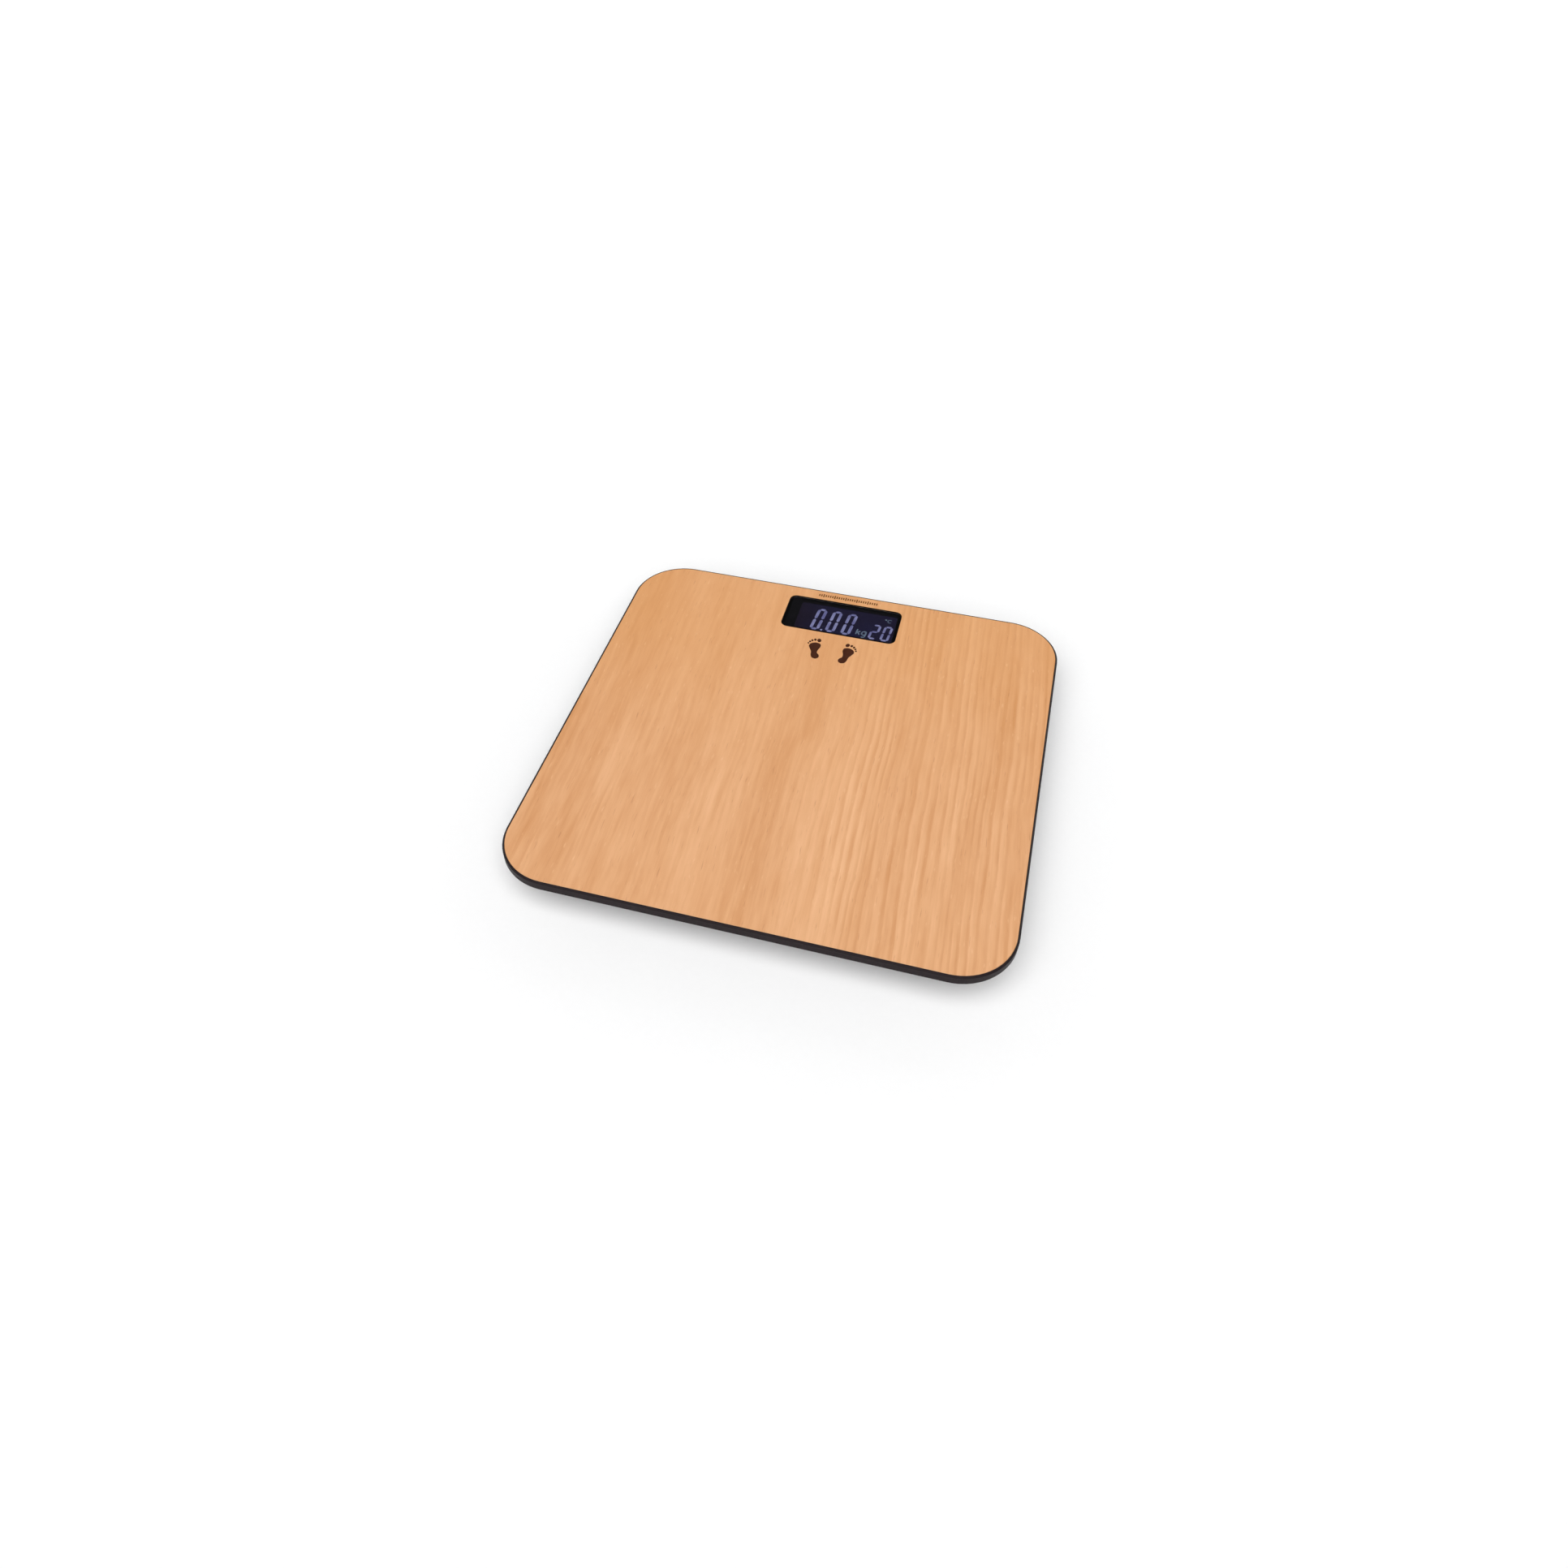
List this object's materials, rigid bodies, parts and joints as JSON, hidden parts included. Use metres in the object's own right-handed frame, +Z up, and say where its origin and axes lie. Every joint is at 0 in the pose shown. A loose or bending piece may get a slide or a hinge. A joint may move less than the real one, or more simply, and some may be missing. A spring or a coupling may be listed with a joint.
{
  "type": "digital bathroom scale",
  "caption": "Square digital bathroom scale: wood-grain deck in a thin dark edge, backlit display window near the back, strain-gauge feet and a battery door underneath.",
  "frame": {"origin": "on the floor, under the middle of the square platform", "axes": "+Z up; -Y towards the user who stands on it; +Y towards the edge that carries the display; +X to the right of a user who reads the display"},
  "size_m": [0.3, 0.3, 0.025],
  "materials": {
    "wood_decor": "satin",
    "adhesive_film": "satin",
    "galvanised_steel": "satin",
    "black_plastic": "matte",
    "grey_plastic": "matte",
    "button_grey": "satin",
    "blank_label": "satin",
    "amber_foil": "satin",
    "smoked_pane": "gloss",
    "lcd_glass": "gloss",
    "light_guide": "gloss",
    "zebra_rubber": "matte",
    "board_green": "satin",
    "potting_black": "satin",
    "nylon_white": "satin",
    "cell_wrap": "gloss",
    "nickel_plate": "polished",
    "screw_steel": "polished",
    "foot_rubber": "matte",
    "lead_red": "satin",
    "lead_black": "satin",
    "lead_white": "satin"
  },
  "bodies": {
    "platform": {"deck_panel": "wood_decor", "deck_adhesive": "adhesive_film", "chassis_plate": "galvanised_steel", "rim_frame": "black_plastic", "base_cover": "black_plastic", "rating_label": "blank_label", "strain_gauges": "amber_foil", "display_window": "smoked_pane", "display_carrier": "black_plastic", "lcd_glass": "lcd_glass", "lcd_backlight": "light_guide", "zebra_strips": "zebra_rubber", "main_board": "board_green", "controller_blob": "potting_black", "board_components": "potting_black", "lead_connectors": "nylon_white", "temperature_sensor": "potting_black", "unit_switch": "grey_plastic", "aaa_cell_1": "cell_wrap", "aaa_cell_2": "cell_wrap", "contact_plates": "nickel_plate", "series_bridge": "nickel_plate", "contact_springs": "nickel_plate", "sensor_leads_red": "lead_red", "sensor_leads_black": "lead_black", "sensor_leads_white": "lead_white", "battery_lead_red": "lead_red", "battery_lead_black": "lead_black", "cable_clips": "nylon_white", "cover_screws": "screw_steel", "housing_screws": "screw_steel", "display_screws": "screw_steel", "board_screws": "screw_steel", "load_cell_front_left": "nickel_plate", "cell_housing_front_left": "grey_plastic", "load_cell_front_right": "nickel_plate", "cell_housing_front_right": "grey_plastic", "load_cell_back_left": "nickel_plate", "cell_housing_back_left": "grey_plastic", "load_cell_back_right": "nickel_plate", "cell_housing_back_right": "grey_plastic"},
    "foot_front_left": {"foot_cup_front_left": "black_plastic", "foot_pad_front_left": "foot_rubber"},
    "foot_front_right": {"foot_cup_front_right": "black_plastic", "foot_pad_front_right": "foot_rubber"},
    "foot_back_left": {"foot_cup_back_left": "black_plastic", "foot_pad_back_left": "foot_rubber"},
    "foot_back_right": {"foot_cup_back_right": "black_plastic", "foot_pad_back_right": "foot_rubber"},
    "battery_lid": {"battery_door": "black_plastic"},
    "unit_button": {"unit_button_cap": "button_grey", "switch_plunger": "grey_plastic"}
  },
  "joints": [
    {"name": "foot_slide_front_left", "type": "slide", "parent": "platform", "child": "foot_front_left", "axis": [0, 0, 1], "range_m": [0, 0.0008], "stiffness_N_per_m": 2000, "deforming": ["load_cell_front_left"]},
    {"name": "foot_slide_front_right", "type": "slide", "parent": "platform", "child": "foot_front_right", "axis": [0, 0, 1], "range_m": [0, 0.0008], "stiffness_N_per_m": 2000, "deforming": ["load_cell_front_right"]},
    {"name": "foot_slide_back_left", "type": "slide", "parent": "platform", "child": "foot_back_left", "axis": [0, 0, 1], "range_m": [0, 0.0008], "stiffness_N_per_m": 2000, "deforming": ["load_cell_back_left"]},
    {"name": "foot_slide_back_right", "type": "slide", "parent": "platform", "child": "foot_back_right", "axis": [0, 0, 1], "range_m": [0, 0.0008], "stiffness_N_per_m": 2000, "deforming": ["load_cell_back_right"]},
    {"name": "battery_door_hinge", "type": "hinge", "parent": "platform", "child": "battery_lid", "pos_m": [0, 0.0856, 0.0066], "axis": [1, 0, 0], "range_deg": [0, 95]},
    {"name": "unit_button_press", "type": "slide", "parent": "platform", "child": "unit_button", "axis": [0, 0, 1], "range_m": [0, 0.0006], "stiffness_N_per_m": 2500}
  ]
}
